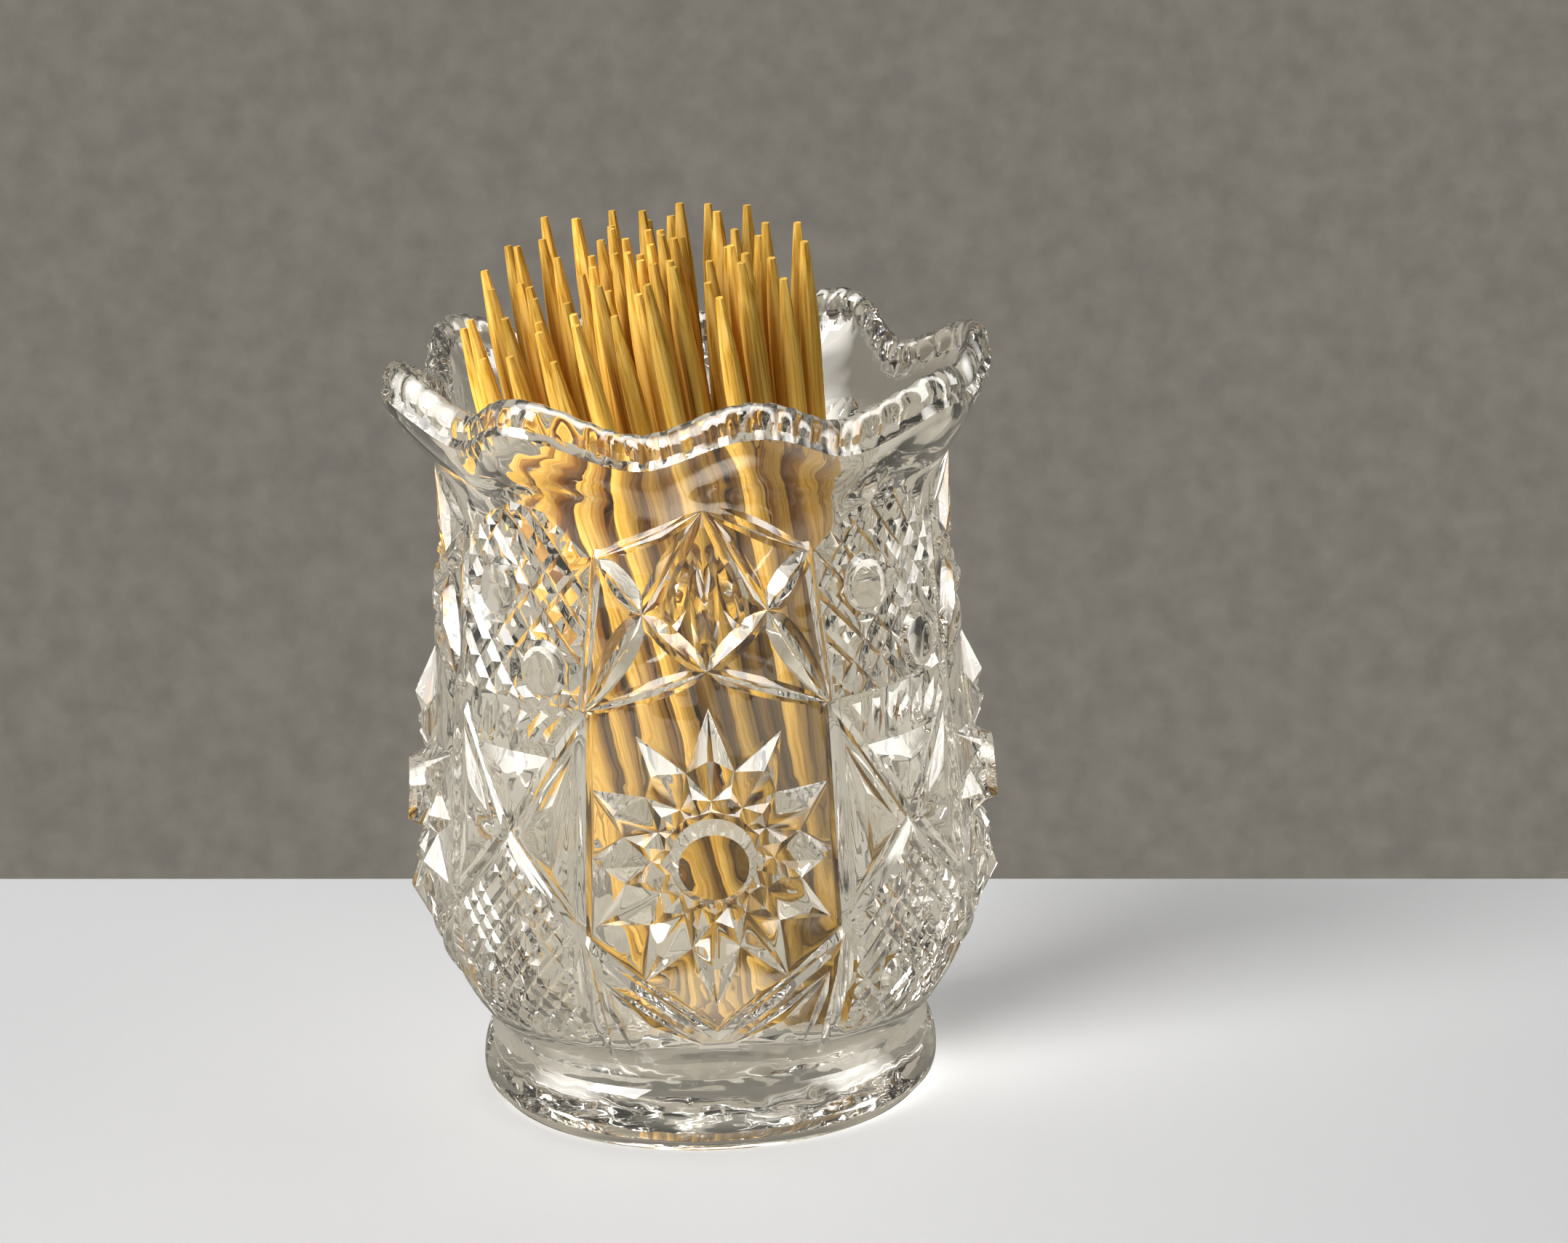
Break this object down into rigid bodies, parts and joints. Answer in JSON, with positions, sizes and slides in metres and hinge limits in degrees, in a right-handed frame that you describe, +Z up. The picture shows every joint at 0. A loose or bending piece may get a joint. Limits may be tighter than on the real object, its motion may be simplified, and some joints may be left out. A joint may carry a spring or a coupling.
{
  "type": "toothpick holder",
  "caption": "Clear pressed-glass toothpick holder with a scalloped flared rim and star and diamond cuts, filled with a leaning sheaf of wooden toothpicks.",
  "frame": {"origin": "middle of the resting ring's flat underside", "axes": "+Z up; -Y towards the viewer, at the middle of a star panel; +X to the viewer's right"},
  "size_m": [0.0524, 0.0524, 0.0771],
  "materials": {
    "glass": "clear, fire-polished",
    "toothpick_wood": "plain, unfinished"
  },
  "bodies": {
    "glass_holder": {"glass_holder": "glass"},
    "toothpick_01": {"toothpick_01": "toothpick_wood"},
    "toothpick_02": {"toothpick_02": "toothpick_wood"},
    "toothpick_03": {"toothpick_03": "toothpick_wood"},
    "toothpick_04": {"toothpick_04": "toothpick_wood"},
    "toothpick_05": {"toothpick_05": "toothpick_wood"},
    "toothpick_06": {"toothpick_06": "toothpick_wood"},
    "toothpick_07": {"toothpick_07": "toothpick_wood"},
    "toothpick_08": {"toothpick_08": "toothpick_wood"},
    "toothpick_09": {"toothpick_09": "toothpick_wood"},
    "toothpick_10": {"toothpick_10": "toothpick_wood"},
    "toothpick_11": {"toothpick_11": "toothpick_wood"},
    "toothpick_12": {"toothpick_12": "toothpick_wood"},
    "toothpick_13": {"toothpick_13": "toothpick_wood"},
    "toothpick_14": {"toothpick_14": "toothpick_wood"},
    "toothpick_15": {"toothpick_15": "toothpick_wood"},
    "toothpick_16": {"toothpick_16": "toothpick_wood"},
    "toothpick_17": {"toothpick_17": "toothpick_wood"},
    "toothpick_18": {"toothpick_18": "toothpick_wood"},
    "toothpick_19": {"toothpick_19": "toothpick_wood"},
    "toothpick_20": {"toothpick_20": "toothpick_wood"},
    "toothpick_21": {"toothpick_21": "toothpick_wood"},
    "toothpick_22": {"toothpick_22": "toothpick_wood"},
    "toothpick_23": {"toothpick_23": "toothpick_wood"},
    "toothpick_24": {"toothpick_24": "toothpick_wood"},
    "toothpick_25": {"toothpick_25": "toothpick_wood"},
    "toothpick_26": {"toothpick_26": "toothpick_wood"},
    "toothpick_27": {"toothpick_27": "toothpick_wood"},
    "toothpick_28": {"toothpick_28": "toothpick_wood"},
    "toothpick_29": {"toothpick_29": "toothpick_wood"},
    "toothpick_30": {"toothpick_30": "toothpick_wood"},
    "toothpick_31": {"toothpick_31": "toothpick_wood"},
    "toothpick_32": {"toothpick_32": "toothpick_wood"},
    "toothpick_33": {"toothpick_33": "toothpick_wood"},
    "toothpick_34": {"toothpick_34": "toothpick_wood"},
    "toothpick_35": {"toothpick_35": "toothpick_wood"},
    "toothpick_36": {"toothpick_36": "toothpick_wood"},
    "toothpick_37": {"toothpick_37": "toothpick_wood"},
    "toothpick_38": {"toothpick_38": "toothpick_wood"},
    "toothpick_39": {"toothpick_39": "toothpick_wood"},
    "toothpick_40": {"toothpick_40": "toothpick_wood"},
    "toothpick_41": {"toothpick_41": "toothpick_wood"},
    "toothpick_42": {"toothpick_42": "toothpick_wood"},
    "toothpick_43": {"toothpick_43": "toothpick_wood"},
    "toothpick_44": {"toothpick_44": "toothpick_wood"},
    "toothpick_45": {"toothpick_45": "toothpick_wood"},
    "toothpick_46": {"toothpick_46": "toothpick_wood"},
    "toothpick_47": {"toothpick_47": "toothpick_wood"},
    "toothpick_48": {"toothpick_48": "toothpick_wood"},
    "toothpick_49": {"toothpick_49": "toothpick_wood"},
    "toothpick_50": {"toothpick_50": "toothpick_wood"},
    "toothpick_51": {"toothpick_51": "toothpick_wood"},
    "toothpick_52": {"toothpick_52": "toothpick_wood"},
    "toothpick_53": {"toothpick_53": "toothpick_wood"},
    "toothpick_54": {"toothpick_54": "toothpick_wood"},
    "toothpick_55": {"toothpick_55": "toothpick_wood"},
    "toothpick_56": {"toothpick_56": "toothpick_wood"},
    "toothpick_57": {"toothpick_57": "toothpick_wood"},
    "toothpick_58": {"toothpick_58": "toothpick_wood"},
    "middle_toothpicks": {"middle_toothpicks": "toothpick_wood"}
  },
  "joints": [
    {"name": "toothpick_01_pull", "type": "slide", "parent": "glass_holder", "child": "toothpick_01", "axis": [-0.2352, -0.1091, 0.9658], "range_m": [0, 0.059]},
    {"name": "toothpick_02_pull", "type": "slide", "parent": "glass_holder", "child": "toothpick_02", "axis": [-0.2237, -0.1363, 0.9651], "range_m": [0, 0.059]},
    {"name": "toothpick_03_pull", "type": "slide", "parent": "glass_holder", "child": "toothpick_03", "axis": [-0.2455, -0.0732, 0.9666], "range_m": [0, 0.059]},
    {"name": "toothpick_04_pull", "type": "slide", "parent": "glass_holder", "child": "toothpick_04", "axis": [-0.2293, -0.0945, 0.9688], "range_m": [0, 0.059]},
    {"name": "toothpick_05_pull", "type": "slide", "parent": "glass_holder", "child": "toothpick_05", "axis": [-0.2106, -0.1111, 0.9712], "range_m": [0, 0.059]},
    {"name": "toothpick_06_pull", "type": "slide", "parent": "glass_holder", "child": "toothpick_06", "axis": [-0.1909, -0.1277, 0.9733], "range_m": [0, 0.059]},
    {"name": "toothpick_07_pull", "type": "slide", "parent": "glass_holder", "child": "toothpick_07", "axis": [-0.1724, -0.1488, 0.9737], "range_m": [0, 0.059]},
    {"name": "toothpick_08_pull", "type": "slide", "parent": "glass_holder", "child": "toothpick_08", "axis": [-0.2379, -0.0206, 0.9711], "range_m": [0, 0.059]},
    {"name": "toothpick_09_pull", "type": "slide", "parent": "glass_holder", "child": "toothpick_09", "axis": [-0.2249, -0.0478, 0.9732], "range_m": [0, 0.059]},
    {"name": "toothpick_10_pull", "type": "slide", "parent": "glass_holder", "child": "toothpick_10", "axis": [-0.2135, -0.0711, 0.9744], "range_m": [0, 0.059]},
    {"name": "toothpick_11_pull", "type": "slide", "parent": "glass_holder", "child": "toothpick_11", "axis": [-0.2019, -0.0891, 0.9753], "range_m": [0, 0.059]},
    {"name": "toothpick_12_pull", "type": "slide", "parent": "glass_holder", "child": "toothpick_12", "axis": [-0.1882, -0.1051, 0.9765], "range_m": [0, 0.059]},
    {"name": "toothpick_13_pull", "type": "slide", "parent": "glass_holder", "child": "toothpick_13", "axis": [-0.1717, -0.1242, 0.9773], "range_m": [0, 0.059]},
    {"name": "toothpick_14_pull", "type": "slide", "parent": "glass_holder", "child": "toothpick_14", "axis": [-0.1528, -0.1487, 0.977], "range_m": [0, 0.059]},
    {"name": "toothpick_15_pull", "type": "slide", "parent": "glass_holder", "child": "toothpick_15", "axis": [-0.1332, -0.1761, 0.9753], "range_m": [0, 0.059]},
    {"name": "toothpick_16_pull", "type": "slide", "parent": "glass_holder", "child": "toothpick_16", "axis": [-0.2271, -0.0036, 0.9739], "range_m": [0, 0.059]},
    {"name": "toothpick_17_pull", "type": "slide", "parent": "glass_holder", "child": "toothpick_17", "axis": [-0.2116, -0.0234, 0.9771], "range_m": [0, 0.059]},
    {"name": "toothpick_18_pull", "type": "slide", "parent": "glass_holder", "child": "toothpick_18", "axis": [-0.1988, -0.0396, 0.9792], "range_m": [0, 0.059]},
    {"name": "toothpick_19_pull", "type": "slide", "parent": "glass_holder", "child": "toothpick_19", "axis": [-0.1413, -0.122, 0.9824], "range_m": [0, 0.059]},
    {"name": "toothpick_20_pull", "type": "slide", "parent": "glass_holder", "child": "toothpick_20", "axis": [-0.1295, -0.1446, 0.981], "range_m": [0, 0.059]},
    {"name": "toothpick_21_pull", "type": "slide", "parent": "glass_holder", "child": "toothpick_21", "axis": [-0.1155, -0.1714, 0.9784], "range_m": [0, 0.059]},
    {"name": "toothpick_22_pull", "type": "slide", "parent": "glass_holder", "child": "toothpick_22", "axis": [-0.2263, 0.0214, 0.9738], "range_m": [0, 0.059]},
    {"name": "toothpick_23_pull", "type": "slide", "parent": "glass_holder", "child": "toothpick_23", "axis": [-0.2072, -0.0005, 0.9783], "range_m": [0, 0.059]},
    {"name": "toothpick_24_pull", "type": "slide", "parent": "glass_holder", "child": "toothpick_24", "axis": [-0.1877, -0.0176, 0.9821], "range_m": [0, 0.059]},
    {"name": "toothpick_25_pull", "type": "slide", "parent": "glass_holder", "child": "toothpick_25", "axis": [-0.108, -0.1207, 0.9868], "range_m": [0, 0.059]},
    {"name": "toothpick_26_pull", "type": "slide", "parent": "glass_holder", "child": "toothpick_26", "axis": [-0.0928, -0.1411, 0.9856], "range_m": [0, 0.059]},
    {"name": "toothpick_27_pull", "type": "slide", "parent": "glass_holder", "child": "toothpick_27", "axis": [-0.0802, -0.1667, 0.9827], "range_m": [0, 0.059]},
    {"name": "toothpick_28_pull", "type": "slide", "parent": "glass_holder", "child": "toothpick_28", "axis": [-0.1966, 0.0253, 0.9802], "range_m": [0, 0.059]},
    {"name": "toothpick_29_pull", "type": "slide", "parent": "glass_holder", "child": "toothpick_29", "axis": [-0.1847, 0.0014, 0.9828], "range_m": [0, 0.059]},
    {"name": "toothpick_30_pull", "type": "slide", "parent": "glass_holder", "child": "toothpick_30", "axis": [-0.0934, -0.1256, 0.9877], "range_m": [0, 0.059]},
    {"name": "toothpick_31_pull", "type": "slide", "parent": "glass_holder", "child": "toothpick_31", "axis": [-0.0762, -0.1416, 0.987], "range_m": [0, 0.059]},
    {"name": "toothpick_32_pull", "type": "slide", "parent": "glass_holder", "child": "toothpick_32", "axis": [-0.1845, 0.0593, 0.981], "range_m": [0, 0.059]},
    {"name": "toothpick_33_pull", "type": "slide", "parent": "glass_holder", "child": "toothpick_33", "axis": [-0.1651, 0.0354, 0.9856], "range_m": [0, 0.059]},
    {"name": "toothpick_34_pull", "type": "slide", "parent": "glass_holder", "child": "toothpick_34", "axis": [-0.1474, 0.0081, 0.989], "range_m": [0, 0.059]},
    {"name": "toothpick_35_pull", "type": "slide", "parent": "glass_holder", "child": "toothpick_35", "axis": [-0.0708, -0.1044, 0.992], "range_m": [0, 0.059]},
    {"name": "toothpick_36_pull", "type": "slide", "parent": "glass_holder", "child": "toothpick_36", "axis": [-0.0585, -0.1249, 0.9904], "range_m": [0, 0.059]},
    {"name": "toothpick_37_pull", "type": "slide", "parent": "glass_holder", "child": "toothpick_37", "axis": [-0.0473, -0.1412, 0.9888], "range_m": [0, 0.059]},
    {"name": "toothpick_38_pull", "type": "slide", "parent": "glass_holder", "child": "toothpick_38", "axis": [-0.1628, 0.0612, 0.9848], "range_m": [0, 0.059]},
    {"name": "toothpick_39_pull", "type": "slide", "parent": "glass_holder", "child": "toothpick_39", "axis": [-0.1482, 0.0394, 0.9882], "range_m": [0, 0.059]},
    {"name": "toothpick_40_pull", "type": "slide", "parent": "glass_holder", "child": "toothpick_40", "axis": [-0.1307, 0.0128, 0.9913], "range_m": [0, 0.059]},
    {"name": "toothpick_41_pull", "type": "slide", "parent": "glass_holder", "child": "toothpick_41", "axis": [-0.0651, -0.0792, 0.9947], "range_m": [0, 0.059]},
    {"name": "toothpick_42_pull", "type": "slide", "parent": "glass_holder", "child": "toothpick_42", "axis": [-0.0458, -0.1018, 0.9938], "range_m": [0, 0.059]},
    {"name": "toothpick_43_pull", "type": "slide", "parent": "glass_holder", "child": "toothpick_43", "axis": [-0.0283, -0.1192, 0.9925], "range_m": [0, 0.059]},
    {"name": "toothpick_44_pull", "type": "slide", "parent": "glass_holder", "child": "toothpick_44", "axis": [-0.126, 0.0624, 0.9901], "range_m": [0, 0.059]},
    {"name": "toothpick_45_pull", "type": "slide", "parent": "glass_holder", "child": "toothpick_45", "axis": [-0.1139, 0.0426, 0.9926], "range_m": [0, 0.059]},
    {"name": "toothpick_46_pull", "type": "slide", "parent": "glass_holder", "child": "toothpick_46", "axis": [-0.1027, 0.0175, 0.9946], "range_m": [0, 0.059]},
    {"name": "toothpick_47_pull", "type": "slide", "parent": "glass_holder", "child": "toothpick_47", "axis": [-0.0903, -0.01, 0.9959], "range_m": [0, 0.059]},
    {"name": "toothpick_48_pull", "type": "slide", "parent": "glass_holder", "child": "toothpick_48", "axis": [-0.0754, -0.0345, 0.9966], "range_m": [0, 0.059]},
    {"name": "toothpick_49_pull", "type": "slide", "parent": "glass_holder", "child": "toothpick_49", "axis": [-0.0576, -0.0537, 0.9969], "range_m": [0, 0.059]},
    {"name": "toothpick_50_pull", "type": "slide", "parent": "glass_holder", "child": "toothpick_50", "axis": [-0.0381, -0.0697, 0.9968], "range_m": [0, 0.059]},
    {"name": "toothpick_51_pull", "type": "slide", "parent": "glass_holder", "child": "toothpick_51", "axis": [-0.0189, -0.0876, 0.996], "range_m": [0, 0.059]},
    {"name": "toothpick_52_pull", "type": "slide", "parent": "glass_holder", "child": "toothpick_52", "axis": [-0.0832, 0.0435, 0.9956], "range_m": [0, 0.059]},
    {"name": "toothpick_53_pull", "type": "slide", "parent": "glass_holder", "child": "toothpick_53", "axis": [-0.0689, 0.0163, 0.9975], "range_m": [0, 0.059]},
    {"name": "toothpick_54_pull", "type": "slide", "parent": "glass_holder", "child": "toothpick_54", "axis": [-0.057, -0.0099, 0.9983], "range_m": [0, 0.059]},
    {"name": "toothpick_55_pull", "type": "slide", "parent": "glass_holder", "child": "toothpick_55", "axis": [-0.0458, -0.031, 0.9985], "range_m": [0, 0.059]},
    {"name": "toothpick_56_pull", "type": "slide", "parent": "glass_holder", "child": "toothpick_56", "axis": [-0.0332, -0.0476, 0.9983], "range_m": [0, 0.059]},
    {"name": "toothpick_57_pull", "type": "slide", "parent": "glass_holder", "child": "toothpick_57", "axis": [-0.0531, 0.025, 0.9983], "range_m": [0, 0.059]},
    {"name": "toothpick_58_pull", "type": "slide", "parent": "glass_holder", "child": "toothpick_58", "axis": [-0.035, 0.0038, 0.9994], "range_m": [0, 0.059]},
    {"name": "middle_toothpicks_pull", "type": "slide", "parent": "glass_holder", "child": "middle_toothpicks", "axis": [-0.1321, -0.0571, 0.9896], "range_m": [0, 0.059]}
  ]
}
